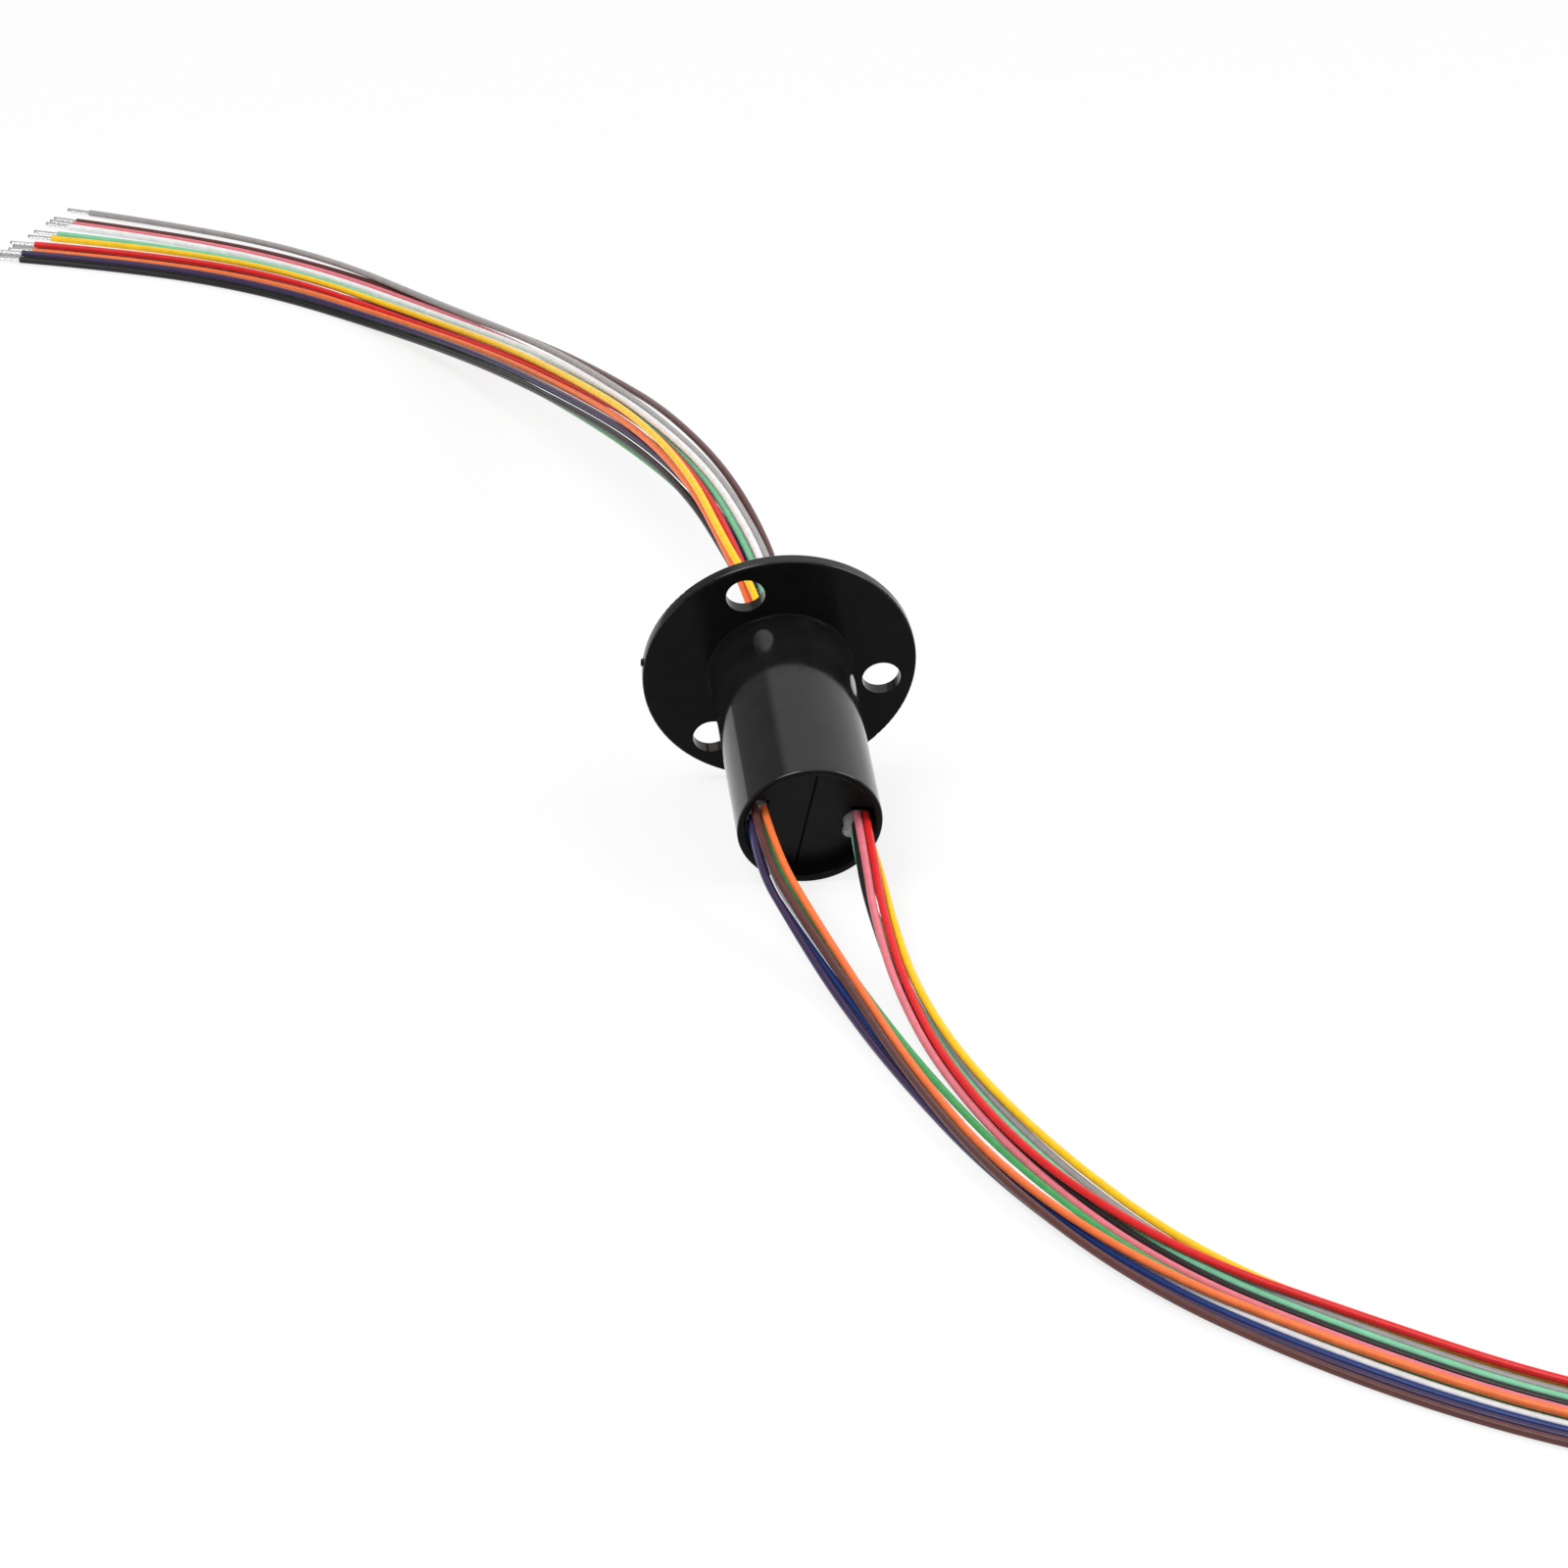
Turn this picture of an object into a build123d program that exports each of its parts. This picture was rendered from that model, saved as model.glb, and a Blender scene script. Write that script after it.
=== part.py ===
from build123d import *

import os
from math import acos, atan, atan2, cos, degrees, hypot, pi, radians, sin, sqrt, tan

# A capsule slip ring lying on a table: a moulded housing with a three-hole flange carries a
# turning spindle with twelve contact rings, wire brushes, two ball bearings and flying leads.
# All sizes are millimetres. Pieces are modelled upright about Z, with Z = 0 on the flange's
# front face and +Z towards the open end, and are then laid on the table together.

# Housing moulding
housing_diameter = 22.0
housing_wall = 1.2
shoulder_step = 0.5
flange_diameter = 42.5
flange_thickness = 2.0
bolt_circle = (flange_diameter + housing_diameter) / 2
bolt_hole = 6.0
bolt_count = 3
bolt_angle = 111.0
edge_round = 0.4
gate_mark_diameter = 1.2
gate_mark_height = 0.3
gate_mark_angle = 174.0
ejector_mark_diameter = 3.0
ejector_mark_depth = 0.1

# Ball bearings, the same at both ends, in proportion to the housing
bearing_share = 7 / 11
bore_share = 4 / 7
bearing_diameter = bearing_share * housing_diameter
bearing_bore = bore_share * bearing_diameter
bearing_width = 4.0
race_gap = 1.1
ball_diameter = 1.6
ball_count = 9
cage_thickness = 0.6
cage_width = 2.4
shield_thickness = 0.25
shield_inset = 0.1
shield_gap = 0.22
seat_lip = 0.8
seat_cover = 0.2

# Spindle with its contact rings
nose_length = 6.0
spindle_wall = 1.2
spindle_bore = bearing_bore - 2 * spindle_wall
shoulder_rise = 1.2
shoulder_diameter = bearing_bore + 2 * shoulder_rise
shoulder_width = 0.7
ring_count = 12
ring_width = 1.0
groove_width = 0.6
groove_depth = 0.4
spacer_share = 0.73
spacer_rise = 0.5
spacer_width = 0.8
lead_slot_width = 2.0
lead_slot_inset = 1.2
clip_thickness = 0.6
clip_rise = 1.2
clip_diameter = bearing_bore + 2 * clip_rise
clip_groove_depth = 0.4
clip_opening = 60.0
spindle_tail = 1.2
potting_length = 7.0
potting_recess = 0.4

# Brushes and their carriers
brush_wire = 0.3
brush_foot = 2.5
brush_overrun = 1.6
carrier_share = 0.41
carrier_width = carrier_share * housing_diameter
carrier_gap = 0.5

# Open end
holder_lip = 0.6
holder_skirt = 1.0
port_wall = 0.9
port_angle = -9.0
cover_thickness = 2.2
cover_recess = 2.7
cover_parting = 0.1
cover_bevel = 0.15
glue_bulge = 0.3
glue_round = 0.25

# Leads
wire_diameter = 1.2
wire_spacing = 1.35
wire_margin = 0.65
lead_straight = 12.0
lead_clearance = 0.06
nose_straight = 10.0
nose_opening = 0.3
bend_share = 0.45
tip_diameter = 0.72
tip_length = 5.0

# Fits
seat_fit = 0.02
running_gap = 0.3
ball_clearance = 0.03
brush_clearance = 0.03

# Radii that several pieces share
housing_radius = housing_diameter / 2
flange_radius = flange_diameter / 2
end_bore_radius = housing_radius - housing_wall
cavity_radius = end_bore_radius - shoulder_step
spacer_radius = spacer_share * cavity_radius
ring_radius = spacer_radius - spacer_rise
bearing_radius = bearing_diameter / 2
bore_radius = bearing_bore / 2
pitch_radius = (bearing_radius + bore_radius) / 2
inner_land = pitch_radius - race_gap / 2
outer_land = pitch_radius + race_gap / 2
spindle_radius = bore_radius - seat_fit
ball_radius = ball_diameter / 2
track_radius = ball_radius + ball_clearance
ring_floor = ring_radius - groove_depth
wire_radius = wire_diameter / 2

# Heights along the axis, from the flange's front face
nose_end = -flange_thickness - nose_length
front_bearing = seat_lip - flange_thickness
front_bearing_end = front_bearing + bearing_width
web_face = front_bearing_end + seat_cover
stack_start = front_bearing_end + shoulder_width
ring_pitch = ring_width + spacer_width
stack_end = stack_start + ring_count * ring_pitch + spacer_width
rear_bearing = stack_end
rear_bearing_end = rear_bearing + bearing_width
clip_start = rear_bearing_end
spindle_end = clip_start + clip_thickness + spindle_tail
cover_back = spindle_end + running_gap
cover_face = cover_back + cover_thickness
tube_end = cover_face + cover_recess
holder_start = stack_end + running_gap
holder_lip_end = rear_bearing_end + holder_lip
potting_face = nose_end + potting_recess
glue_face = cover_face + glue_bulge

# The lead ports of the open end: two columns and three rows of wires on each side
outer_column = end_bore_radius - wire_margin - wire_diameter / 2
inner_column = outer_column - wire_spacing
port_centre = (outer_column + inner_column) / 2
port_inner = inner_column - wire_radius - wire_margin / 2
port_width = 2 * wire_spacing + wire_diameter + wire_margin

# The housing rests on the flange's front edge and on the open end's rim
tilt = atan((flange_radius - housing_radius) / tube_end)
rest_height = (flange_radius - edge_round) * cos(tilt) - edge_round * sin(tilt) + edge_round
front_reach = (tube_end - edge_round) * cos(tilt) + (housing_radius - edge_round) * sin(tilt)
back_reach = (-nose_end - edge_round) * cos(tilt) + (spindle_radius - edge_round) * sin(tilt)
flange_reach = (flange_thickness - edge_round) * cos(tilt) + (flange_radius - edge_round) * sin(tilt)
rest_middle = (front_reach - max(back_reach, flange_reach)) / 2
lying = Plane(
    origin=(0, rest_middle, rest_height),
    x_dir=(1, 0, 0),
    z_dir=(0, -cos(tilt), -sin(tilt)),
).location


def tube(inner, outer, start, end):
    """A plain ring about the axis."""
    return Pos(0, 0, start) * extrude(Circle(outer) - Circle(inner), end - start)


def rod(radius, start, end):
    """A plain cylinder on the axis."""
    return Pos(0, 0, start) * extrude(Circle(radius), end - start)


def turned(corners, rounded=(), radius=edge_round):
    """A turned solid from (radius, height) corners, with some of the corners rounded."""
    face = make_face(Polyline(*corners, close=True))
    for corner in rounded:
        nearest = face.vertices().sort_by_distance((*corner, 0))[0]
        face = fillet(nearest, radius)
    return revolve(Plane.XZ * face, Axis.Z)


def grouped(shapes):
    """Separate solids that share one node."""
    return Compound([solid for shape in shapes for solid in shape.solids()])


def spaced(count, radius, start_angle=0.0):
    """Places on a circle about the axis."""
    for index in range(count):
        yield Rot(0, 0, start_angle + index * 360 / count) * Pos(radius, 0, 0)


def housing():
    """Flange, tube and front bearing seat, moulded as one piece."""
    seat_radius = bearing_radius + seat_fit
    corners = [
        (outer_land, -flange_thickness),
        (flange_radius, -flange_thickness),
        (flange_radius, 0),
        (housing_radius, 0),
        (housing_radius, tube_end),
        (end_bore_radius, tube_end),
        (end_bore_radius, holder_start),
        (cavity_radius, holder_start),
        (cavity_radius, web_face),
        (seat_radius, web_face),
        (seat_radius, front_bearing),
        (outer_land, front_bearing),
    ]
    rounded = [corners[1], corners[2], corners[3], corners[4], corners[5]]
    body = turned(corners, rounded)
    hole = Cylinder(bolt_hole / 2, 3 * flange_thickness)
    for place in spaced(bolt_count, bolt_circle / 2, bolt_angle):
        body -= place * hole
    mark = Cylinder(ejector_mark_diameter / 2, 2 * ejector_mark_depth)
    for place in spaced(bolt_count, bolt_circle / 2, bolt_angle + 180 / bolt_count):
        body -= Pos(0, 0, -flange_thickness) * place * mark
    gate = Rot(0, 90, 0) * Cylinder(
        gate_mark_diameter / 2,
        gate_mark_height + edge_round,
        align=(Align.CENTER, Align.CENTER, Align.MIN),
    )
    place = Rot(0, 0, gate_mark_angle) * Pos(flange_radius - edge_round, 0, -flange_thickness / 2)
    return body + place * gate


def outer_race(start):
    """A bearing's fixed race with its ball track."""
    corners = [
        (outer_land, start),
        (bearing_radius, start),
        (bearing_radius, start + bearing_width),
        (outer_land, start + bearing_width),
    ]
    return turned(corners) - ball_track(start)


def inner_race(start):
    """A bearing's turning race with its ball track."""
    corners = [
        (bore_radius, start),
        (inner_land, start),
        (inner_land, start + bearing_width),
        (bore_radius, start + bearing_width),
    ]
    return turned(corners) - ball_track(start)


def ball_track(start):
    """The room that the balls of a bearing run in."""
    return Pos(0, 0, start + bearing_width / 2) * Torus(pitch_radius, track_radius)


def balls(start):
    """The balls of one bearing."""
    middle = Pos(0, 0, start + bearing_width / 2)
    return grouped(
        middle * place * Sphere(ball_radius) for place in spaced(ball_count, pitch_radius)
    )


def cage(start):
    """The ring that keeps the balls of one bearing apart."""
    middle = start + bearing_width / 2
    ring = tube(
        pitch_radius - cage_thickness / 2,
        pitch_radius + cage_thickness / 2,
        middle - cage_width / 2,
        middle + cage_width / 2,
    )
    pocket = Rot(0, 90, 0) * Cylinder(track_radius, ball_diameter)
    for place in spaced(ball_count, pitch_radius):
        ring -= Pos(0, 0, middle) * place * pocket
    return ring


def bearing_shield():
    """The thin washer that closes the front bearing round the nose."""
    start = front_bearing + shield_inset
    return tube(inner_land + shield_gap, outer_land - seat_fit, start, start + shield_thickness)


def spindle():
    """The hollow turning core, with a shoulder, a slot for the ring leads and a clip groove."""
    groove_radius = spindle_radius - clip_groove_depth
    clip_end = clip_start + clip_thickness
    corners = [
        (spindle_bore / 2, nose_end),
        (spindle_radius, nose_end),
        (spindle_radius, front_bearing_end),
        (shoulder_diameter / 2, front_bearing_end),
        (shoulder_diameter / 2, stack_start),
        (spindle_radius, stack_start),
        (spindle_radius, clip_start),
        (groove_radius, clip_start),
        (groove_radius, clip_end),
        (spindle_radius, clip_end),
        (spindle_radius, spindle_end),
        (0, spindle_end),
        (0, stack_end),
        (spindle_bore / 2, stack_end),
    ]
    core = turned(corners, [corners[1]])
    slot_length = stack_end - stack_start - 2 * lead_slot_inset
    slot = Box(
        lead_slot_width,
        bearing_bore,
        slot_length,
        align=(Align.CENTER, Align.MIN, Align.MIN),
    )
    return core - Pos(0, 0, stack_start + lead_slot_inset) * slot


def contact_ring(index):
    """One ring with the V groove that its brush wires run in."""
    start = stack_start + spacer_width + index * ring_pitch
    middle = start + ring_width / 2
    return turned([
        (bore_radius, start),
        (ring_radius, start),
        (ring_radius, middle - groove_width / 2),
        (ring_floor, middle),
        (ring_radius, middle + groove_width / 2),
        (ring_radius, start + ring_width),
        (bore_radius, start + ring_width),
    ])


def ring_spacers():
    """The insulating discs between and beside the rings."""
    starts = [stack_start + index * ring_pitch for index in range(ring_count + 1)]
    return grouped(
        tube(bore_radius, spacer_radius, start, start + spacer_width) for start in starts
    )


def retaining_clip():
    """The open clip that holds the rear bearing on the spindle."""
    groove_radius = spindle_radius - clip_groove_depth
    ring = Circle(clip_diameter / 2) - Circle(groove_radius + seat_fit)
    half_opening = radians(clip_opening / 2)
    reach = clip_diameter
    mouth = make_face(Polyline(
        (0, 0),
        (reach * cos(half_opening), reach * sin(half_opening)),
        (reach * cos(half_opening), -reach * sin(half_opening)),
        close=True,
    ))
    return Pos(0, 0, clip_start + seat_fit) * extrude(ring - mouth, clip_thickness - 2 * seat_fit)


def nose_potting():
    """The resin plug in the nose that the rotor leads come out of."""
    return rod(spindle_bore / 2 - seat_fit, potting_face, potting_face + potting_length)


def brush_carrier(side):
    """The insulating block beside the rings, against the housing wall."""
    face = spacer_radius + carrier_gap
    length = holder_start - web_face
    block = Cylinder(cavity_radius - seat_fit, length) & Pos(face, 0, 0) * Box(
        housing_diameter,
        carrier_width,
        length,
        align=(Align.MIN, Align.CENTER, Align.CENTER),
    )
    turn = 0 if side > 0 else 180
    return Rot(0, 0, turn) * Pos(0, 0, web_face + length / 2) * block


def brushes(side):
    """Spring wires in pairs, each wire lying along the groove of every second ring."""
    face = spacer_radius + carrier_gap
    groove_slope = atan(groove_width / 2 / groove_depth)
    contact = ring_floor + brush_wire / 2 / sin(groove_slope) + brush_clearance
    distance = hypot(face, brush_foot)
    touch_angle = atan2(brush_foot, face) + acos(contact / distance)
    length = sqrt(distance**2 - contact**2) + brush_overrun
    lean = degrees(touch_angle) + 90
    first = 0 if side > 0 else 1
    wires = []
    for index in range(first, ring_count, 2):
        height = stack_start + spacer_width + index * ring_pitch + ring_width / 2
        for half in (0, 180):
            wire = Cylinder(brush_wire / 2, length, align=(Align.CENTER, Align.CENTER, Align.MIN))
            wire = Pos(face, brush_foot, 0) * Rot(0, 0, lean) * Rot(0, 90, 0) * wire
            wire = wire & Box(2 * face, housing_diameter, brush_wire * 2)
            wire = Rot(half, 0, 0) * wire
            wires.append(Pos(0, 0, height) * wire)
    turn = 0 if side > 0 else 180
    return grouped(Rot(0, 0, turn) * wire for wire in wires)


def lead_port(start, end, inner):
    """The room for the leads on the right side, out to past the wall."""
    return Pos(inner, 0, start) * Box(
        housing_radius,
        port_width,
        end - start,
        align=(Align.MIN, Align.CENTER, Align.MIN),
    )


def bearing_holder():
    """The insert that carries the rear bearing, with a port for the leads on each side."""
    outer = end_bore_radius - seat_fit
    seat = bearing_radius + seat_fit
    body = turned([
        (seat, holder_start),
        (outer, holder_start),
        (outer, cover_back),
        (outer - holder_skirt, cover_back),
        (outer - holder_skirt, holder_lip_end),
        (outer_land, holder_lip_end),
        (outer_land, rear_bearing_end),
        (seat, rear_bearing_end),
    ])
    port = lead_port(holder_start, cover_back, seat + port_wall)
    return body - port - Rot(0, 0, 180) * port


def end_cover(side):
    """One half of the recessed cover, with the port for its leads."""
    radius = end_bore_radius - seat_fit
    half = Circle(radius) & Pos(cover_parting / 2, 0) * Rectangle(
        housing_diameter,
        housing_diameter,
        align=(Align.MIN, Align.CENTER),
    )
    plate = Pos(0, 0, cover_back) * extrude(half, cover_thickness)
    plate -= lead_port(cover_back, cover_face, port_inner)
    parting_edge = plate.edges().filter_by(Axis.Y).sort_by(Axis.X)[:2].sort_by(Axis.Z)[-1]
    plate = chamfer(parting_edge, cover_bevel)
    return Rot(0, 0, 0 if side > 0 else 180) * plate


def glue_plug(side):
    """The glue that seals the leads in a cover's port."""
    block = lead_port(cover_back, glue_face, port_inner + seat_fit)
    room = rod(end_bore_radius - 2 * seat_fit, cover_back, glue_face)
    width = Pos(0, 0, cover_back) * Box(
        housing_diameter,
        port_width - 2 * seat_fit,
        2 * (glue_face - cover_back),
    )
    plug = block & room & width
    plug = fillet(plug.faces().sort_by(Axis.Z)[-1].edges(), glue_round)
    return Rot(0, 0, 0 if side > 0 else 180) * plug


# Stator leads. Each colour has its column and row in the port, and then its place, across to the
# right and above the bundle's line, past the port, on the way down, where the two bundles meet,
# where they open out and at its end.
left_leads = {
    "brown": (-1, 1, [(-0.6, 3.1), (-2.3, 1.25), (-2.75, 0.0), (-3.1, 0.0), (-3.8, 0.0)]),
    "purple": (-1, 0, [(-1.6, 1.75), (-1.4, 0.0), (-1.38, 0.0), (-1.55, 0.0), (-1.9, 0.0)]),
    "orange": (1, 1, [(1.5, 3.05), (-0.6, 1.35), (-0.7, 1.3), (1.6, 1.4), (2.85, 1.0)]),
    "blue": (-1, -1, [(-1.0, 0.1), (0.0, 0.0), (0.0, 0.0), (0.0, 0.0), (0.0, 0.0)]),
    "white": (1, -1, [(0.7, 0.0), (1.4, 0.0), (1.38, 0.0), (1.55, 0.0), (1.9, 0.0)]),
    "green": (1, 0, [(1.5, 1.35), (2.75, 0.0), (2.75, 0.0), (3.1, 0.0), (3.8, 0.0)]),
}
right_leads = {
    "black": (-1, 1, [(-0.95, 3.1), (-2.3, 1.25), (-2.75, 0.0), (-3.1, 0.0), (-3.8, 0.0)]),
    "pink": (-1, 0, [(-1.6, 1.75), (-1.4, 0.0), (-1.38, 0.0), (-1.55, 0.0), (-1.9, 0.0)]),
    "red": (1, 1, [(0.35, 3.3), (-0.6, 1.35), (-2.05, 1.3), (2.3, 1.35), (2.85, 1.0)]),
    "turquoise": (-1, -1, [(-1.0, 0.1), (0.0, 0.0), (0.0, 0.0), (0.0, 0.0), (0.0, 0.0)]),
    "grey": (1, -1, [(0.8, 0.0), (1.4, 0.0), (1.38, 0.0), (1.55, 0.0), (1.9, 0.0)]),
    "yellow": (1, 0, [(1.7, 1.35), (2.75, 0.0), (2.75, 0.0), (3.1, 0.0), (3.8, 0.0)]),
}

# The lines that the two stator bundles follow: x, y, z and how far along its places each lead is
left_line = [
    (-4.0, -42.0, 3.9, 1.45),
    (0.2, -59.5, 1.5, 2.0),
    (5.6, -83.2, wire_radius, 2.5),
    (14.1, -113.7, wire_radius, 3.0),
    (28.2, -143.3, wire_radius, 3.5),
    (47.7, -165.8, wire_radius, 4.0),
    (68.8, -184.9, wire_radius, 4.4),
    (94.8, -199.9, wire_radius, 4.75),
    (120.8, -209.4, wire_radius, 5.0),
]
right_line = [
    (8.0, -42.0, 3.9, 1.45),
    (9.3, -59.5, 1.5, 2.0),
    (12.6, -82.9, wire_radius, 2.5),
    (20.8, -111.4, wire_radius, 3.0),
    (33.9, -138.9, wire_radius, 3.5),
    (53.2, -160.1, wire_radius, 4.0),
    (73.9, -177.9, wire_radius, 4.4),
    (98.8, -191.6, wire_radius, 4.75),
    (124.2, -200.4, wire_radius, 5.0),
]

# Rotor leads. Each colour has its place, across to the left and above the bundle's line, at the
# nose, behind the flange, at the top of the arch, where it reaches the table, a little further
# on and at its end.
rotor_leads = {
    "brown": [(-2.15, 0.0), (-4.3, 0.8), (-7.4, 1.6), (-10.4, 0), (-11.6, 0), (-13.2, 0)],
    "grey": [(-1.65, 1.38), (-2.9, 1.4), (-4.6, 1.6), (-10.2, 1.5), (-12.9, 0.8), (-15.8, 0)],
    "white": [(-0.37, 2.12), (-1.5, 1.3), (-3.1, 1.0), (-8.4, 0), (-9.4, 0), (-10.8, 0)],
    "turquoise": [(0.0, 0.78), (0.0, 0.8), (-1.4, 0.4), (-4.8, 0), (-5.6, 0), (-7.4, 0)],
    "pink": [(-1.65, -1.38), (-0.7, -1.0), (-0.2, -0.9), (-2.9, 0), (-3.3, 0), (-4.4, 0)],
    "yellow": [(1.08, 1.86), (3.4, 2.3), (0.9, 2.6), (-1.0, 0), (-1.2, 0), (-1.8, 0)],
    "red": [(2.02, 0.74), (2.7, 0.8), (1.5, 1.0), (1.0, 0), (1.4, 0), (2.4, 0)],
    "orange": [(2.02, -0.74), (4.2, 0.2), (3.0, 0.7), (2.7, 0), (3.1, 0), (4.6, 0)],
    "blue": [(-0.68, -0.39), (0.65, -0.9), (3.2, -0.9), (4.6, 0), (5.2, 0), (7.2, 0)],
    "green": [(-0.37, -2.12), (2.7, -2.6), (5.6, -3.4), (6.7, 0), (7.2, 0), (9.8, 0)],
    "black": [(0.68, -0.39), (2.0, -1.1), (4.9, -0.8), (8.7, 0), (9.6, 0), (12.8, 0)],
    "purple": [(1.08, -1.86), (4.3, -1.2), (6.6, -0.2), (10.6, 0), (11.6, 0), (15.4, 0)],
}
rotor_line = [
    (-1.0, 46.0, 27.0, 1.0),
    (-4.6, 73.0, 28.2, 1.5),
    (-10.6, 108.0, 24.2, 2.0),
    (-18.0, 147.0, 16.4, 2.4),
    (-27.5, 188.0, 8.0, 2.75),
    (-42.5, 228.0, wire_radius, 3.0),
    (-63.0, 252.5, wire_radius, 4.0),
    (-86.0, 271.5, wire_radius, 4.5),
    (-108.0, 283.5, wire_radius, 5.0),
]


def between(places, position):
    """A place part of the way from one listed place to the next."""
    low = min(int(position), len(places) - 2)
    share = position - low
    return [a + (b - a) * share for a, b in zip(places[low], places[low + 1])]


def along(line, places):
    """One lead's points: the bundle's line, moved across and up to the lead's own place."""
    points = []
    for index, (x, y, z, position) in enumerate(line):
        before = line[max(index - 1, 0)]
        after = line[min(index + 1, len(line) - 1)]
        run = hypot(after[0] - before[0], after[1] - before[1])
        left = (-(after[1] - before[1]) / run, (after[0] - before[0]) / run)
        across, above = between(places, position)
        points.append(Vector(x + left[0] * across, y + left[1] * across, z + above))
    return points


def laid(x, y, z, turn=0.0):
    """A point of the upright model, turned about its axis, where it lies on the table."""
    return (lying * Rot(0, 0, turn) * Pos(x, y, z)).position


def stator_route(side, line, column, row, places):
    """One stator lead, from the glue to its bare end."""
    port = (column * wire_spacing / 2, (row + 1) * wire_spacing)
    opening = places[0]
    centre = side * port_centre
    low = -wire_spacing
    start = laid(centre + port[0], low + port[1], glue_face + lead_clearance, port_angle)
    out = laid(centre + opening[0], low + opening[1], glue_face + lead_straight, port_angle)
    return [start, out] + along(line, [port] + places)


def rotor_route(places):
    """One rotor lead, from the potted nose to its bare end."""
    start = laid(-places[0][0], places[0][1], potting_face - lead_clearance)
    opening = between(places, nose_opening)
    out = laid(-opening[0], opening[1], potting_face - nose_straight)
    return [start, out] + along(rotor_line, places)


def stripped_end(path):
    """The tinned strands that stick out of a lead's insulation."""
    return Plane(origin=path @ 1, z_dir=path % 1) * Cylinder(
        tip_diameter / 2,
        tip_length,
        align=(Align.CENTER, Align.CENTER, Align.MIN),
    )


def lead(name, points):
    """A round lead along straight runs joined by arcs as large as the runs allow."""
    radii = []
    for before, corner, after in zip(points, points[1:], points[2:]):
        turn = radians((corner - before).get_angle(after - corner))
        shorter = min((corner - before).length, (after - corner).length)
        radii.append(bend_share * shorter / tan(turn / 2))
    path = FilletPolyline(*points, radius=radii)
    section = Plane(origin=path @ 0, z_dir=path % 0) * Circle(wire_radius)
    solid = sweep(section, path=path)
    expected = pi * wire_radius**2 * path.length
    print(f"{name}: length {path.length:.1f}, smallest radius {min(radii):.1f}, "
          f"volume {solid.volume / expected:.4f} of section times length")
    return solid + stripped_end(path)


def routes():
    """Every lead's points, by node name."""
    found = {}
    for side, line, leads in ((-1, left_line, left_leads), (1, right_line, right_leads)):
        for colour, place in leads.items():
            found[f"stator_wire_{colour}"] = stator_route(side, line, *place)
    for colour, places in rotor_leads.items():
        found[f"rotor_wire_{colour}"] = rotor_route(places)
    return found


def pieces():
    """Every rigid piece, by node name, still upright."""
    made = {
        "housing": housing(),
        "front_bearing_outer_race": outer_race(front_bearing),
        "front_bearing_inner_race": inner_race(front_bearing),
        "front_bearing_balls": balls(front_bearing),
        "front_bearing_cage": cage(front_bearing),
        "front_bearing_shield": bearing_shield(),
        "rear_bearing_outer_race": outer_race(rear_bearing),
        "rear_bearing_inner_race": inner_race(rear_bearing),
        "rear_bearing_balls": balls(rear_bearing),
        "rear_bearing_cage": cage(rear_bearing),
        "rear_bearing_holder": Rot(0, 0, port_angle) * bearing_holder(),
        "rotor_spindle": spindle(),
        "ring_spacers": ring_spacers(),
        "retaining_clip": retaining_clip(),
        "nose_potting": nose_potting(),
    }
    for index in range(ring_count):
        made[f"contact_ring_{index + 1}"] = contact_ring(index)
    for name, side in (("left", -1), ("right", 1)):
        made[f"brush_carrier_{name}"] = Rot(0, 0, port_angle) * brush_carrier(side)
        made[f"brushes_{name}"] = Rot(0, 0, port_angle) * brushes(side)
        made[f"end_cover_{name}"] = Rot(0, 0, port_angle) * end_cover(side)
        made[f"glue_{name}"] = Rot(0, 0, port_angle) * glue_plug(side)
    return made


def main():
    os.makedirs("parts", exist_ok=True)
    for name, solid in pieces().items():
        export_step(solid.moved(lying), f"parts/{name}.step")
    for name, points in routes().items():
        export_step(lead(name, points), f"parts/{name}.step")


if __name__ == "__main__":
    main()
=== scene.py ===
from math import copysign, cos, hypot, pi, radians, sin

import bmesh
import bpy
from mathutils import Matrix, Vector, noise


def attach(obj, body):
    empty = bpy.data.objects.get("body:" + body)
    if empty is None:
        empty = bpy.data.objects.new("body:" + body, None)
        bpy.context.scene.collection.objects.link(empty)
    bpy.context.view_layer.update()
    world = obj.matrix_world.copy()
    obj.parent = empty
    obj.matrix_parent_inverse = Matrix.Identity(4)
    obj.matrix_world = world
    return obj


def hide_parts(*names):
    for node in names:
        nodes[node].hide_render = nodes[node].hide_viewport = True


# A capsule slip ring lying on a white table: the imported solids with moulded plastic, metal and
# glue materials, and its leads as smooth curves with stripped, tinned ends. The part's own sizes
# are named in millimetres, and the scene is in metres.
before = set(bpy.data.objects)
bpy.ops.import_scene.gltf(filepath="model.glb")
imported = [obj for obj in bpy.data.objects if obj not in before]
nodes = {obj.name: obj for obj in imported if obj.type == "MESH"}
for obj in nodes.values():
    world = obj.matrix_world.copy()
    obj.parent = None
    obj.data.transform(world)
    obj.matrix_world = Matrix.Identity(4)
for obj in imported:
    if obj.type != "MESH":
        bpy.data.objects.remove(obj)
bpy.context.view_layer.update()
scene = bpy.context.scene
scene.view_settings.view_transform = "Standard"

MM = 0.001

# How the part lies: the middle of the flange's front face, and the slope of the axis
TILT = radians(15.524117)
FLANGE_CENTRE = Vector((0.0, 14.8623, 20.3823))
LYING = Matrix.Translation(FLANGE_CENTRE) @ Matrix((
    (1, 0, 0, 0),
    (0, -sin(TILT), -cos(TILT), 0),
    (0, cos(TILT), -sin(TILT), 0),
    (0, 0, 0, 1),
))

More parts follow.
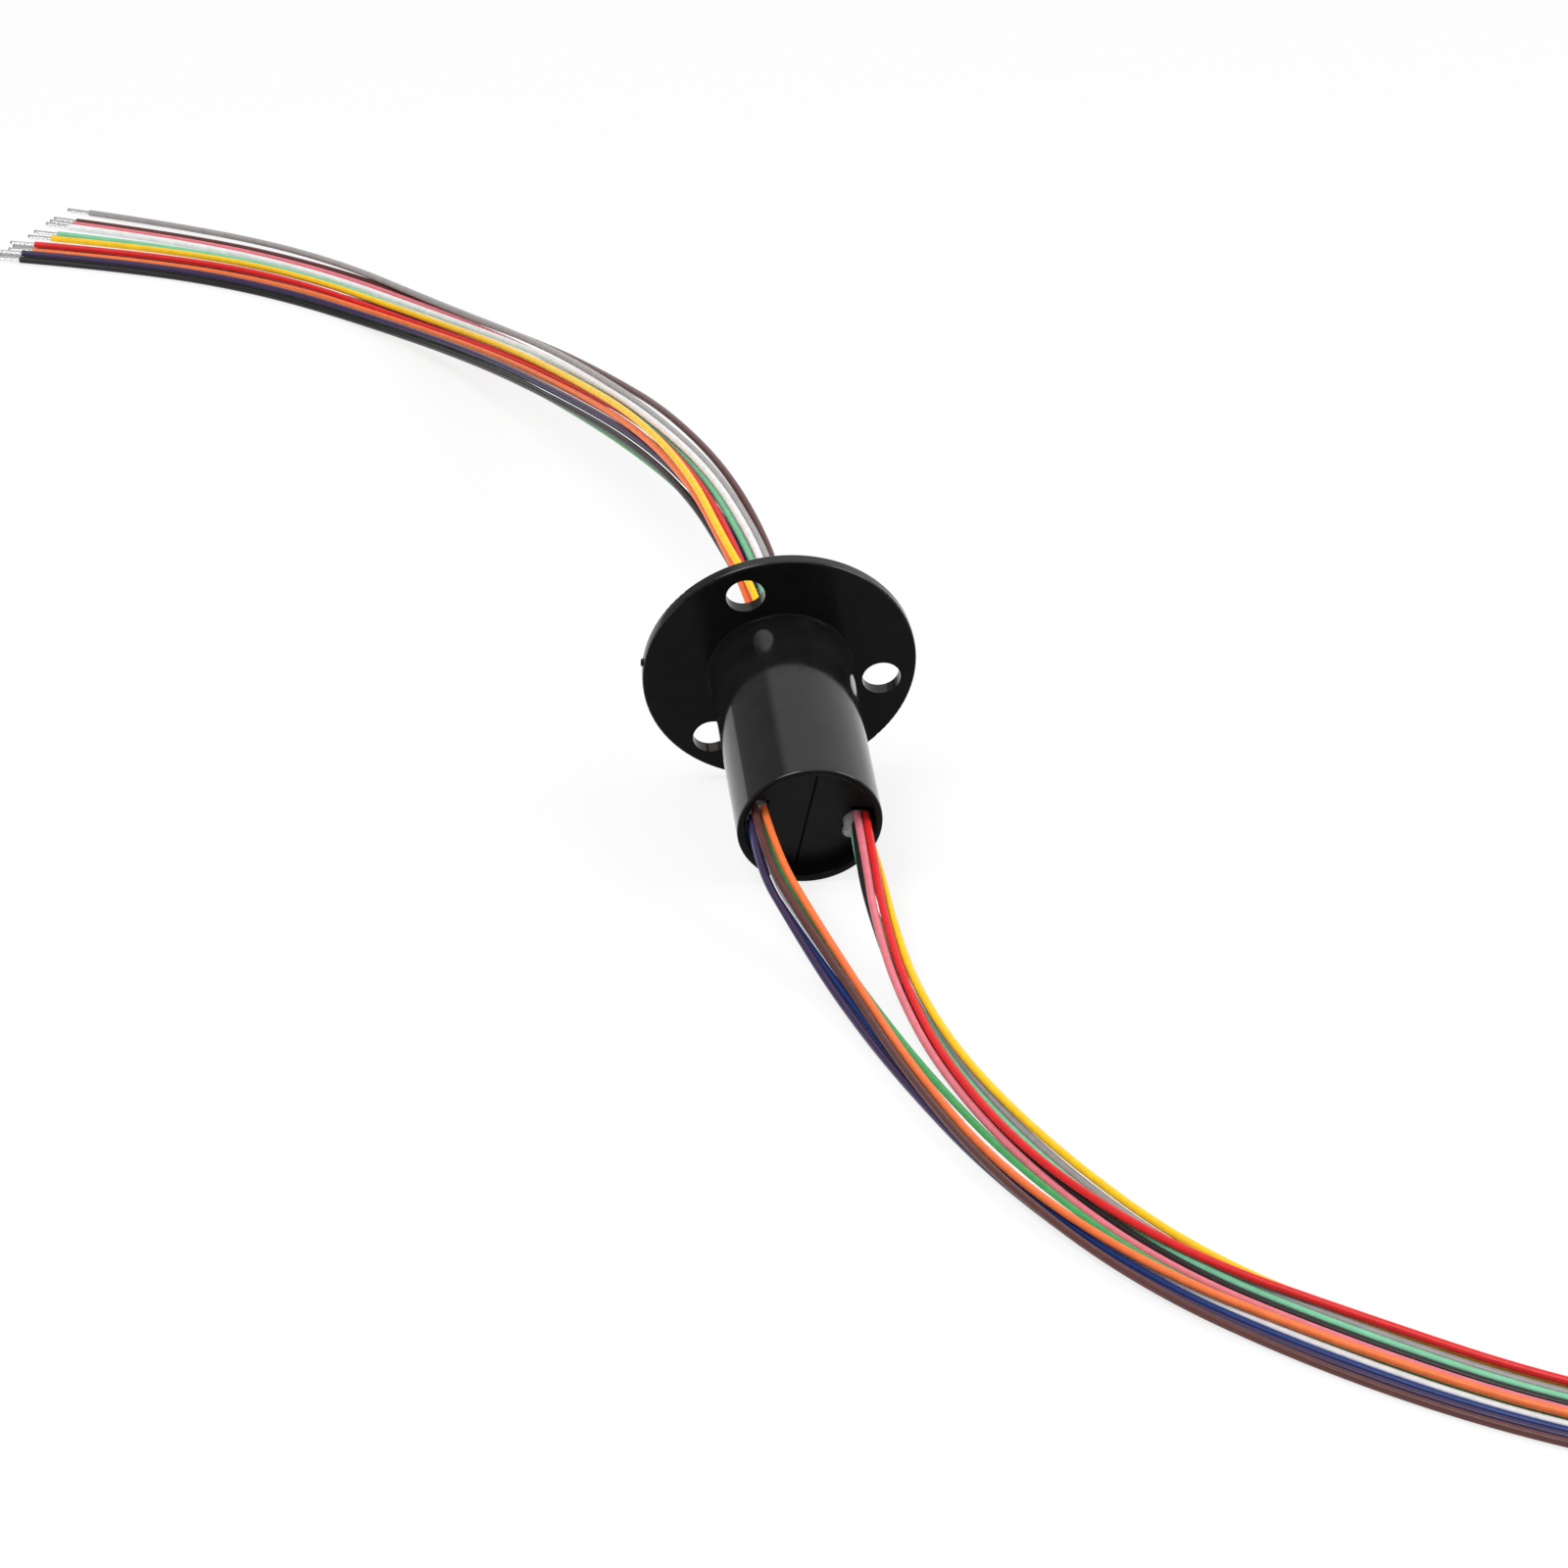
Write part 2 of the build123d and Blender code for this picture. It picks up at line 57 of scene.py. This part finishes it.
# Radii, heights along the axis and lead sizes, as on the solids
HOUSING_RADIUS = 11.0
END_BORE_RADIUS = 9.8
GLUE_FACE = 34.5
POTTING_FACE = -7.6
PORT_ANGLE = radians(-9.0)
PORT_CENTRE = 7.875
WIRE_RADIUS = 0.6
WIRE_SPACING = 1.35
LEAD_STRAIGHT = 12.0
LEAD_CLEARANCE = 0.06
NOSE_STRAIGHT = 10.0
NOSE_OPENING = 0.3

# How finely the leads' curves are drawn
LEAD_STEPS = 12
LEAD_ROUNDNESS = 4

# Painted shade on the housing: the faces within the first radius, those that face along the axis and
# the rounded joint of the tube with the flange get a darker, less reflective black, painted shade that
# takes out their reflections and the joint's highlight
INNER_LIMIT = HOUSING_RADIUS - 0.3
FLAT_LIMIT = 0.8
JOINT_RADIUS = HOUSING_RADIUS + 0.45
JOINT_HEIGHT = 0.45
SHARP_ANGLE = radians(35)
WELD = 1e-7

# Glue beads: centre and half size in the turned open end, and where their lumps start
GLUE_BEADS = {
    "glue_left": (Vector((-7.9, -0.1, 33.9)), Vector((1.65, 2.2, 1.35)), 3.0),
    "glue_right": (Vector((7.4, -0.9, 34.2)), Vector((1.8, 2.0, 1.8)), 11.0),
}
BEAD_DETAIL = 5
BEAD_SQUARENESS = 0.7
BEAD_LUMP = 0.7
BEAD_LUMPS_PER_MM = 0.55
BEAD_WALL_GAP = 0.05

# Stripped ends: strands round a middle one, and how far they reach into the insulation
OUTER_STRANDS = 6
STRAND_RADIUS = 0.12
STRAND_SIDES = 8
STRAND_STEPS = 14
TIP_LENGTH = 5.0
TIP_HIDDEN = 0.6
TIP_TURNS = 0.8

# Surface noise: the part of its range that is used, and how finely it is broken up
NOISE_LOW = 0.3
NOISE_HIGH = 0.7
COLOUR_DETAIL = 4.0
ROUGHNESS_DETAIL = 6.0
ROUGHNESS_GRAIN = 2.5
RELIEF_DETAIL = 3.0

# Table in metres, and the studio's brightness
FLOOR_HALF = 6.0
FLOOR_DROP = 0.0002
PAPER_WHITE = 0.9
PAPER_GLOW = 0.8
SKY_STRENGTH = 0.55
DIM_SIDE = 0.3
DIM_START = -0.42
DIM_END = -0.26

# Camera at the photograph's place
camera_data = bpy.data.cameras.new("camera")
camera_data.sensor_width = 36.0
camera_data.lens = 134.2
camera = bpy.data.objects.new("camera", camera_data)
camera.location = (-0.1045, -0.8014, 0.3852)
camera.rotation_euler = (radians(64.98), 0.0, radians(-7.34))
scene.collection.objects.link(camera)
scene.camera = camera


def surface(name, dark, light, rough, grain, bump, bump_grain, **settings):
    """A material whose colour, roughness and fine relief vary over the surface."""
    made = bpy.data.materials.new(name)
    made.use_nodes = True
    tree = made.node_tree
    shader = tree.nodes["Principled BSDF"]
    for socket, value in settings.items():
        shader.inputs[socket.replace("_", " ")].default_value = value
    place = tree.nodes.new("ShaderNodeTexCoord").outputs["Object"]

    def speckle(scale, detail):
        texture = tree.nodes.new("ShaderNodeTexNoise")
        texture.inputs["Scale"].default_value = scale
        texture.inputs["Detail"].default_value = detail
        tree.links.new(place, texture.inputs["Vector"])
        return texture.outputs["Fac"]

    ramp = tree.nodes.new("ShaderNodeValToRGB")
    ramp.color_ramp.elements[0].position = NOISE_LOW
    ramp.color_ramp.elements[1].position = NOISE_HIGH
    ramp.color_ramp.elements[0].color = (*dark, 1)
    ramp.color_ramp.elements[1].color = (*light, 1)
    tree.links.new(speckle(grain, COLOUR_DETAIL), ramp.inputs["Fac"])
    tree.links.new(ramp.outputs["Color"], shader.inputs["Base Color"])
    spread = tree.nodes.new("ShaderNodeMapRange")
    spread.inputs["From Min"].default_value = NOISE_LOW
    spread.inputs["From Max"].default_value = NOISE_HIGH
    spread.inputs["To Min"].default_value = rough[0]
    spread.inputs["To Max"].default_value = rough[1]
    tree.links.new(speckle(grain * ROUGHNESS_GRAIN, ROUGHNESS_DETAIL), spread.inputs["Value"])
    tree.links.new(spread.outputs["Result"], shader.inputs["Roughness"])
    relief = tree.nodes.new("ShaderNodeBump")
    relief.inputs["Strength"].default_value = 1.0
    relief.inputs["Distance"].default_value = bump * MM
    tree.links.new(speckle(bump_grain, RELIEF_DETAIL), relief.inputs["Height"])
    tree.links.new(relief.outputs["Normal"], shader.inputs["Normal"])
    return made


def linear(red, green, blue):
    """A colour given as it looks on a screen, from 0 to 255."""
    return tuple(((c / 255 + 0.055) / 1.055) ** 2.4 if c > 10 else c / 255 / 12.92
                 for c in (red, green, blue))


def scaled(colour, share):
    """A darker or lighter shade of a colour."""
    return tuple(min(1.0, c * share) for c in colour)


insulation = {
    "black": linear(38, 34, 36),
    "brown": linear(90, 54, 51),
    "red": linear(218, 38, 40),
    "orange": linear(238, 118, 62),
    "yellow": linear(250, 200, 30),
    "green": linear(70, 160, 92),
    "blue": linear(26, 52, 112),
    "purple": linear(58, 44, 78),
    "grey": linear(160, 156, 156),
    "white": linear(232, 232, 232),
    "pink": linear(222, 120, 132),
    "turquoise": linear(122, 198, 158),
}

gloss_black = surface(
    "gloss_black", (0.006, 0.006, 0.006), (0.011, 0.011, 0.011), (0.06, 0.14),
    grain=250.0, bump=0.002, bump_grain=500.0, Specular_IOR_Level=0.4,
)
# Painted shade: a darker, less reflective copy of the housing's black for its flat, inner and joint
# faces. Its extra roughness is their satin finish; the darker colour and weak reflection are painted
# shade
painted_shade_black = surface(
    "painted_shade_black", (0.0035, 0.0035, 0.0035), (0.0055, 0.0055, 0.0055), (0.12, 0.22),
    grain=300.0, bump=0.003, bump_grain=1500.0, Specular_IOR_Level=0.06,
)
cover_black = surface(
    "cover_black", (0.004, 0.004, 0.004), (0.007, 0.007, 0.007), (0.3, 0.45),
    grain=500.0, bump=0.006, bump_grain=3000.0, Specular_IOR_Level=0.1,
)
spindle_black = surface(
    "spindle_black", (0.012, 0.012, 0.012), (0.02, 0.02, 0.02), (0.3, 0.45),
    grain=500.0, bump=0.008, bump_grain=2500.0,
)
holder_black = surface(
    "holder_black", (0.02, 0.02, 0.02), (0.032, 0.032, 0.032), (0.4, 0.55),
    grain=500.0, bump=0.008, bump_grain=2500.0,
)
potting = surface(
    "potting", (0.012, 0.012, 0.014), (0.022, 0.022, 0.024), (0.08, 0.2),
    grain=900.0, bump=0.03, bump_grain=700.0,
)
ground_steel = surface(
    "ground_steel", (0.5, 0.5, 0.51), (0.62, 0.62, 0.63), (0.12, 0.24),
    grain=900.0, bump=0.002, bump_grain=6000.0, Metallic=1.0,
)
pressed_steel = surface(
    "pressed_steel", (0.46, 0.46, 0.47), (0.58, 0.58, 0.58), (0.25, 0.4),
    grain=700.0, bump=0.004, bump_grain=5000.0, Metallic=1.0,
)
spring_steel = surface(
    "spring_steel", (0.22, 0.22, 0.23), (0.34, 0.34, 0.35), (0.25, 0.4),
    grain=900.0, bump=0.003, bump_grain=5000.0, Metallic=1.0,
)
gold = surface(
    "gold", (0.78, 0.53, 0.2), (0.88, 0.64, 0.28), (0.14, 0.26),
    grain=900.0, bump=0.002, bump_grain=6000.0, Metallic=1.0,
)
tinned = surface(
    "tinned", (0.6, 0.6, 0.6), (0.78, 0.78, 0.77), (0.2, 0.38),
    grain=2500.0, bump=0.01, bump_grain=6000.0, Metallic=1.0,
)
ivory = surface(
    "ivory", (0.55, 0.49, 0.38), (0.64, 0.58, 0.47), (0.35, 0.5),
    grain=500.0, bump=0.004, bump_grain=3000.0,
)
laminate = surface(
    "laminate", (0.07, 0.17, 0.08), (0.12, 0.24, 0.11), (0.4, 0.55),
    grain=1200.0, bump=0.006, bump_grain=4000.0,
)
hot_melt = surface(
    "hot_melt", (0.34, 0.34, 0.33), (0.6, 0.6, 0.58), (0.25, 0.4),
    grain=700.0, bump=0.02, bump_grain=1500.0, Transmission_Weight=0.5, IOR=1.45,
)
wire_finish = {
    colour: surface(
        f"wire_{colour}", scaled(shade, 0.9), scaled(shade, 1.06), (0.28, 0.42),
        grain=600.0, bump=0.004, bump_grain=1800.0, Specular_IOR_Level=0.25,
    )
    for colour, shade in insulation.items()
}

node_finish = {
    "rotor_spindle": spindle_black,
    "ring_spacers": ivory,
    "retaining_clip": spring_steel,
    "nose_potting": potting,
    "rear_bearing_holder": holder_black,
    "front_bearing_shield": pressed_steel,
}
for end in ("front", "rear"):
    node_finish[f"{end}_bearing_outer_race"] = ground_steel
    node_finish[f"{end}_bearing_inner_race"] = ground_steel
    node_finish[f"{end}_bearing_balls"] = ground_steel
    node_finish[f"{end}_bearing_cage"] = pressed_steel
for side in ("left", "right"):
    node_finish[f"brush_carrier_{side}"] = laminate
    node_finish[f"brushes_{side}"] = gold
    node_finish[f"end_cover_{side}"] = cover_black
for name in nodes:
    if name.startswith("contact_ring"):
        node_finish[name] = gold
for name, finish in node_finish.items():
    nodes[name].data.materials.clear()
    nodes[name].data.materials.append(finish)


def laid(x, y, z, turn=0.0):
    """A point of the upright part, turned about its axis, where it lies on the table."""
    return LYING @ Matrix.Rotation(turn, 4, "Z") @ Vector((x, y, z))


def housing_shell():
    """The moulding with its glossy outside, and painted shade on its flat and inner faces and on its
    joint with the flange.
    """
    data = nodes["housing"].data.copy()
    data.materials.clear()
    data.materials.append(gloss_black)
    data.materials.append(painted_shade_black)
    build = bmesh.new()
    build.from_mesh(data)
    bmesh.ops.remove_doubles(build, verts=build.verts, dist=WELD)
    upright = LYING.inverted()
    for face in build.faces:
        middle = upright @ (face.calc_center_median() / MM)
        facing = upright.to_3x3() @ face.normal
        reach = hypot(middle.x, middle.y)
        joint = reach < JOINT_RADIUS and 0 < middle.z < JOINT_HEIGHT
        # painted shade: these faces get the darker, less reflective black
        dark = reach < INNER_LIMIT or joint or abs(facing.z) > FLAT_LIMIT
        face.material_index = 1 if dark else 0
        face.smooth = True
    build.to_mesh(data)
    build.free()
    data.set_sharp_from_angle(angle=SHARP_ANGLE)
    shell = bpy.data.objects.new("housing_shell", data)
    scene.collection.objects.link(shell)
    shell.modifiers.new("flat_faces", "WEIGHTED_NORMAL").keep_sharp = True
    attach(shell, "stator")
    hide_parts("housing")


def glue_bead(node, centre, half_size, seed):
    """A lump of hot-melt glue that fills a lead port and stands a little out of it."""
    build = bmesh.new()
    bmesh.ops.create_icosphere(build, subdivisions=BEAD_DETAIL, radius=1.0)
    limit = END_BORE_RADIUS - BEAD_WALL_GAP
    for vert in build.verts:
        rounded = Vector(copysign(abs(c) ** BEAD_SQUARENESS, c) for c in vert.co)
        point = centre + rounded * half_size
        lump = noise.noise(point * BEAD_LUMPS_PER_MM + Vector((seed, 0, 0)))
        point += vert.co * lump * BEAD_LUMP
        reach = hypot(point.x, point.y)
        if reach > limit:
            point.x *= limit / reach
            point.y *= limit / reach
        vert.co = laid(*point, PORT_ANGLE) * MM
    for face in build.faces:
        face.smooth = True
    data = bpy.data.meshes.new(node)
    build.to_mesh(data)
    build.free()
    data.materials.append(hot_melt)
    bead = bpy.data.objects.new(f"{node}_bead", data)
    scene.collection.objects.link(bead)
    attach(bead, "stator")
    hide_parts(node)


# Stator leads. Each colour has its column and row in the port, and then its place, across to the
# right and above the bundle's line, past the port, on the way down, where the two bundles meet,
# where they open out and at its end. They lie closer together than the solids do, as in the
# photograph.
LEFT_LEADS = {
    "brown": (-1, 1, [(-0.6, 3.1), (0.6, 1.3), (-1.9, 1.28), (-2.75, 0.0), (-2.75, 0.0)]),
    "purple": (-1, 0, [(-1.6, 1.75), (-1.3, 0.0), (-1.05, 0.0), (-1.37, 0.0), (-1.37, 0.0)]),
    "orange": (1, 1, [(1.5, 3.05), (1.95, 1.3), (-0.4, 1.3), (2.06, 1.3), (2.06, 1.25)]),
    "blue": (-1, -1, [(-1.0, 0.1), (0.05, 0.0), (0.3, 0.0), (0.0, 0.0), (0.0, 0.0)]),
    "white": (1, -1, [(0.7, 0.0), (1.4, 0.0), (1.65, 0.0), (1.37, 0.0), (1.37, 0.0)]),
    "green": (1, 0, [(1.5, 1.35), (2.75, 0.0), (3.0, 0.0), (2.75, 0.0), (2.75, 0.0)]),
}
RIGHT_LEADS = {
    "pink": (-1, 1, [(-0.95, 3.1), (-2.1, 1.28), (-2.75, 0.0), (-3.2, 0.0), (-5.0, 0.0)]),
    "black": (-1, 0, [(-1.6, 1.75), (-1.3, 0.0), (-1.38, 0.0), (-1.85, 0.0), (-3.65, 0.0)]),
    "red": (1, 1, [(0.35, 3.3), (-0.6, 1.3), (-2.05, 1.3), (1.6, 1.3), (-0.2, 1.25)]),
    "turquoise": (-1, -1, [(-1.0, 0.1), (0.1, 0.0), (0.0, 0.0), (-0.5, 0.0), (-2.3, 0.0)]),
    "grey": (1, -1, [(0.8, 0.0), (1.45, 0.0), (1.38, 0.0), (0.85, 0.0), (-0.95, 0.0)]),
    "yellow": (1, 0, [(1.7, 1.35), (0.78, 1.32), (2.05, 1.3), (2.35, 0.0), (0.5, 0.0)]),
}

# The lines that the two stator bundles follow: x, y, z and how far along its places each lead is
LEFT_LINE = [
    (-4.0, -42.0, 3.9, 1.45),
    (0.2, -59.5, 1.5, 2.0),
    (5.6, -83.2, WIRE_RADIUS, 2.5),
    (14.1, -113.7, WIRE_RADIUS, 3.0),
    (28.2, -143.3, WIRE_RADIUS, 3.5),
    (47.7, -165.8, WIRE_RADIUS, 4.0),
    (68.8, -184.9, WIRE_RADIUS, 4.4),
    (94.8, -199.9, WIRE_RADIUS, 4.75),
    (120.8, -209.4, WIRE_RADIUS, 5.0),
]
RIGHT_LINE = [
    (8.0, -42.0, 3.9, 1.45),
    (9.3, -59.5, 1.5, 2.0),
    (12.6, -82.9, WIRE_RADIUS, 2.5),
    (20.8, -111.4, WIRE_RADIUS, 3.0),
    (33.9, -138.9, WIRE_RADIUS, 3.5),
    (53.2, -160.1, WIRE_RADIUS, 4.0),
    (73.9, -177.9, WIRE_RADIUS, 4.4),
    (98.8, -191.6, WIRE_RADIUS, 4.75),
    (124.2, -200.4, WIRE_RADIUS, 5.0),
]

# Rotor leads. Each colour has its place, across to the left and above the bundle's line, at the
# nose, behind the flange, at the top of the arch, where it reaches the table, a little further
# on and at its end. They too lie closer together than the solids.
ROTOR_LEADS = {
    "brown": [(-2.15, 0.0), (-3.5, 0.8), (-4.2, 2.4), (-9.4, 0.0), (-10.0, 0.0), (-9.8, 0.0)],
    "grey": [(-1.65, 1.38), (-2.2, 1.6), (-1.6, 2.5), (-7.6, 1.35), (-11.2, 1.25), (-15.2, 0.0)],
    "white": [(-0.37, 2.12), (-0.9, 2.2), (-0.2, 2.6), (-5.9, 0.0), (-6.7, 0.0), (-6.5, 0.0)],
    "pink": [(-1.65, -1.38), (-1.2, -1.2), (-1.4, -0.8), (-7.5, 0.0), (-8.3, 0.0), (-8.1, 0.0)],
    "turquoise": [(0.0, 0.78), (0.2, 1.1), (-0.75, 0.95), (-3.1, 0.0), (-4.7, 0.0), (-1.8, 0.0)],
    "yellow": [(1.08, 1.86), (3.8, 2.4), (1.96, 2.8), (-0.73, 1.3), (-1.1, 1.25), (0.8, 0.0)],
    "blue": [(-0.68, -0.39), (0.2, -0.9), (0.4, -1.0), (-1.45, 0.0), (0.2, 0.0), (6.7, 0.0)],
    "red": [(2.02, 0.74), (1.8, 0.8), (0.6, 1.45), (0.0, 0.0), (1.1, 1.0), (7.6, 1.05)],
    "orange": [(2.02, -0.74), (3.4, 0.2), (1.7, 0.55), (1.45, 0.0), (2.3, 0.0), (8.5, 0.0)],
    "green": [(-0.37, -2.12), (1.1, -2.4), (2.2, -3.3), (4.6, 0.0), (6.0, 0.0), (12.0, 0.0)],
    "purple": [(0.68, -0.39), (1.5, -0.65), (1.9, -0.9), (5.4, 1.15), (6.8, 1.1), (12.9, 1.05)],
    "black": [(1.08, -1.86), (2.8, -1.4), (2.8, -1.9), (6.2, 0.0), (7.6, 0.0), (13.8, 0.0)],
}
ROTOR_LINE = [
    (-1.0, 46.0, 27.0, 1.0),
    (-4.6, 73.0, 28.2, 1.5),
    (-10.6, 108.0, 24.2, 2.0),
    (-18.0, 147.0, 16.4, 2.4),
    (-27.5, 188.0, 8.0, 2.75),
    (-42.5, 228.0, WIRE_RADIUS, 3.0),
    (-63.0, 252.5, WIRE_RADIUS, 4.0),
    (-86.0, 271.5, WIRE_RADIUS, 4.5),
    (-108.0, 283.5, WIRE_RADIUS, 5.0),
]


def between(places, position):
    """A place part of the way from one listed place to the next."""
    low = min(int(position), len(places) - 2)
    share = position - low
    return [a + (b - a) * share for a, b in zip(places[low], places[low + 1])]


def along(line, places):
    """One lead's points: the bundle's line, moved across and up to the lead's own place."""
    points = []
    for index, (x, y, z, position) in enumerate(line):
        before = line[max(index - 1, 0)]
        after = line[min(index + 1, len(line) - 1)]
        run = hypot(after[0] - before[0], after[1] - before[1])
        left = (-(after[1] - before[1]) / run, (after[0] - before[0]) / run)
        across, above = between(places, position)
        points.append(Vector((x + left[0] * across, y + left[1] * across, z + above)))
    return points


def stator_route(side, line, column, row, places):
    """One stator lead, from the glue to its bare end."""
    port = (column * WIRE_SPACING / 2, (row + 1) * WIRE_SPACING)
    opening = places[0]
    centre = side * PORT_CENTRE
    low = -WIRE_SPACING
    start = laid(centre + port[0], low + port[1], GLUE_FACE + LEAD_CLEARANCE, PORT_ANGLE)
    out = laid(centre + opening[0], low + opening[1], GLUE_FACE + LEAD_STRAIGHT, PORT_ANGLE)
    return [start, out] + along(line, [port] + places)


def rotor_route(places):
    """One rotor lead, from the potted nose to its bare end."""
    start = laid(-places[0][0], places[0][1], POTTING_FACE - LEAD_CLEARANCE)
    opening = between(places, NOSE_OPENING)
    out = laid(-opening[0], opening[1], POTTING_FACE - NOSE_STRAIGHT)
    return [start, out] + along(ROTOR_LINE, places)


def stripped_tip(name, end, direction):
    """The tinned strands at a lead's end: one in the middle and the rest twisted round it."""
    build = bmesh.new()
    turn = direction.to_track_quat("Z", "Y").to_matrix().to_4x4()
    place = Matrix.Translation(end) @ turn
    for strand in range(OUTER_STRANDS + 1):
        rings = []
        for step in range(STRAND_STEPS + 1):
            share = step / STRAND_STEPS
            height = -TIP_HIDDEN + share * (TIP_LENGTH + TIP_HIDDEN)
            angle = 2 * pi * (strand / OUTER_STRANDS + TIP_TURNS * share)
            out = 0.0 if strand == OUTER_STRANDS else 2 * STRAND_RADIUS
            centre = Vector((out * cos(angle), out * sin(angle), height))
            ring = []
            for k in range(STRAND_SIDES):
                corner = 2 * pi * k / STRAND_SIDES
                edge = Vector((STRAND_RADIUS * cos(corner), STRAND_RADIUS * sin(corner), 0.0))
                ring.append(build.verts.new(place @ (centre + edge) * MM))
            rings.append(ring)
        for low, high in zip(rings, rings[1:]):
            for k in range(STRAND_SIDES):
                after = (k + 1) % STRAND_SIDES
                build.faces.new((low[k], low[after], high[after], high[k])).smooth = True
        build.faces.new(list(reversed(rings[0])))
        build.faces.new(rings[-1])
    data = bpy.data.meshes.new(name)
    build.to_mesh(data)
    build.free()
    tip = bpy.data.objects.new(name, data)
    scene.collection.objects.link(tip)
    return tip


def lead(node, colour, body, points):
    """A lead as one smooth curve along its route, in place of its solid, with its stripped end."""
    data = bpy.data.curves.new(node, "CURVE")
    data.dimensions = "3D"
    data.resolution_u = LEAD_STEPS
    data.bevel_depth = WIRE_RADIUS * MM
    data.bevel_resolution = LEAD_ROUNDNESS
    data.use_fill_caps = True
    spline = data.splines.new("NURBS")
    spline.points.add(len(points) - 1)
    for knot, point in zip(spline.points, points):
        knot.co = (*(point * MM), 1.0)
    spline.order_u = 3
    spline.use_endpoint_u = True
    piece = bpy.data.objects.new(f"{node}_curve", data)
    scene.collection.objects.link(piece)
    data.materials.append(wire_finish[colour])
    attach(piece, body)
    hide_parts(node)
    tip = stripped_tip(f"{node}_tip", points[-1], points[-1] - points[-2])
    tip.data.materials.append(tinned)
    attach(tip, body)
    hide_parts(node)


housing_shell()
for node, bead in GLUE_BEADS.items():
    glue_bead(node, *bead)
for side, line, leads in ((-1, LEFT_LINE, LEFT_LEADS), (1, RIGHT_LINE, RIGHT_LEADS)):
    for colour, place in leads.items():
        route = stator_route(side, line, *place)
        lead(f"stator_wire_{colour}", colour, "stator", route)
for colour, places in ROTOR_LEADS.items():
    lead(f"rotor_wire_{colour}", colour, "rotor", rotor_route(places))

# Table, white to the camera and in reflections, that still takes a soft shadow
floor_data = bpy.data.meshes.new("floor")
build = bmesh.new()
bmesh.ops.create_grid(build, x_segments=1, y_segments=1, size=FLOOR_HALF)
build.to_mesh(floor_data)
build.free()
floor = bpy.data.objects.new("floor", floor_data)
floor.location = (0.0, 0.0, -FLOOR_DROP)
scene.collection.objects.link(floor)


def seen_ray(tree):
    """1 for rays that show the background: the camera's, reflections and what is seen through glass."""
    path = tree.nodes.new("ShaderNodeLightPath")
    first = tree.nodes.new("ShaderNodeMath")
    first.operation = "MAXIMUM"
    tree.links.new(path.outputs["Is Camera Ray"], first.inputs[0])
    tree.links.new(path.outputs["Is Glossy Ray"], first.inputs[1])
    second = tree.nodes.new("ShaderNodeMath")
    second.operation = "MAXIMUM"
    tree.links.new(first.outputs["Value"], second.inputs[0])
    tree.links.new(path.outputs["Is Transmission Ray"], second.inputs[1])
    return second.outputs["Value"]


paper = bpy.data.materials.new("paper")
paper.use_nodes = True
tree = paper.node_tree
tree.nodes.clear()
output = tree.nodes.new("ShaderNodeOutputMaterial")
matt = tree.nodes.new("ShaderNodeBsdfDiffuse")
matt.inputs["Color"].default_value = (PAPER_WHITE, PAPER_WHITE, PAPER_WHITE, 1)
glow = tree.nodes.new("ShaderNodeEmission")
share = tree.nodes.new("ShaderNodeMath")
share.operation = "MULTIPLY"
share.inputs[1].default_value = PAPER_GLOW
blend = tree.nodes.new("ShaderNodeMixShader")
tree.links.new(seen_ray(tree), share.inputs[0])
tree.links.new(share.outputs["Value"], blend.inputs["Fac"])
tree.links.new(matt.outputs["BSDF"], blend.inputs[1])
tree.links.new(glow.outputs["Emission"], blend.inputs[2])
tree.links.new(blend.outputs["Shader"], output.inputs["Surface"])
floor_data.materials.append(paper)

world = bpy.data.worlds.new("studio")
scene.world = world
world.use_nodes = True
tree = world.node_tree
sky = tree.nodes["Background"]
sky.inputs["Color"].default_value = (1, 1, 1, 1)
strength = tree.nodes.new("ShaderNodeMapRange")
strength.inputs["To Min"].default_value = SKY_STRENGTH
tree.links.new(seen_ray(tree), strength.inputs["Value"])
tree.links.new(strength.outputs["Result"], sky.inputs["Strength"])

# The studio's left side is dim in reflections
direction = tree.nodes.new("ShaderNodeTexCoord")
parts = tree.nodes.new("ShaderNodeSeparateXYZ")
tree.links.new(direction.outputs["Generated"], parts.inputs["Vector"])
dim_side = tree.nodes.new("ShaderNodeMapRange")
dim_side.interpolation_type = "SMOOTHSTEP"
dim_side.inputs["From Min"].default_value = DIM_START
dim_side.inputs["From Max"].default_value = DIM_END
dim_side.inputs["To Min"].default_value = DIM_SIDE
dim_side.inputs["To Max"].default_value = 1.0
tree.links.new(parts.outputs["X"], dim_side.inputs["Value"])
path = tree.nodes.new("ShaderNodeLightPath")
mirrored = tree.nodes.new("ShaderNodeMix")
mirrored.inputs["A"].default_value = 1.0
tree.links.new(path.outputs["Is Glossy Ray"], mirrored.inputs["Factor"])
tree.links.new(dim_side.outputs["Result"], mirrored.inputs["B"])
tree.links.new(mirrored.outputs["Result"], strength.inputs["To Max"])


def softbox(name, place, target, size, power):
    """A square studio lamp that faces the target."""
    data = bpy.data.lights.new(name, "AREA")
    data.shape = "SQUARE"
    data.size = size
    data.energy = power
    lamp = bpy.data.objects.new(name, data)
    lamp.location = place
    lamp.rotation_euler = (Vector(target) - Vector(place)).to_track_quat("-Z", "Y").to_euler()
    scene.collection.objects.link(lamp)


softbox("key", (-0.5, -0.3, 1.1), (0, 0, 0), 0.6, 9.0)
softbox("side", (0.8, -0.2, 0.6), (0, 0, 0), 0.5, 4.0)
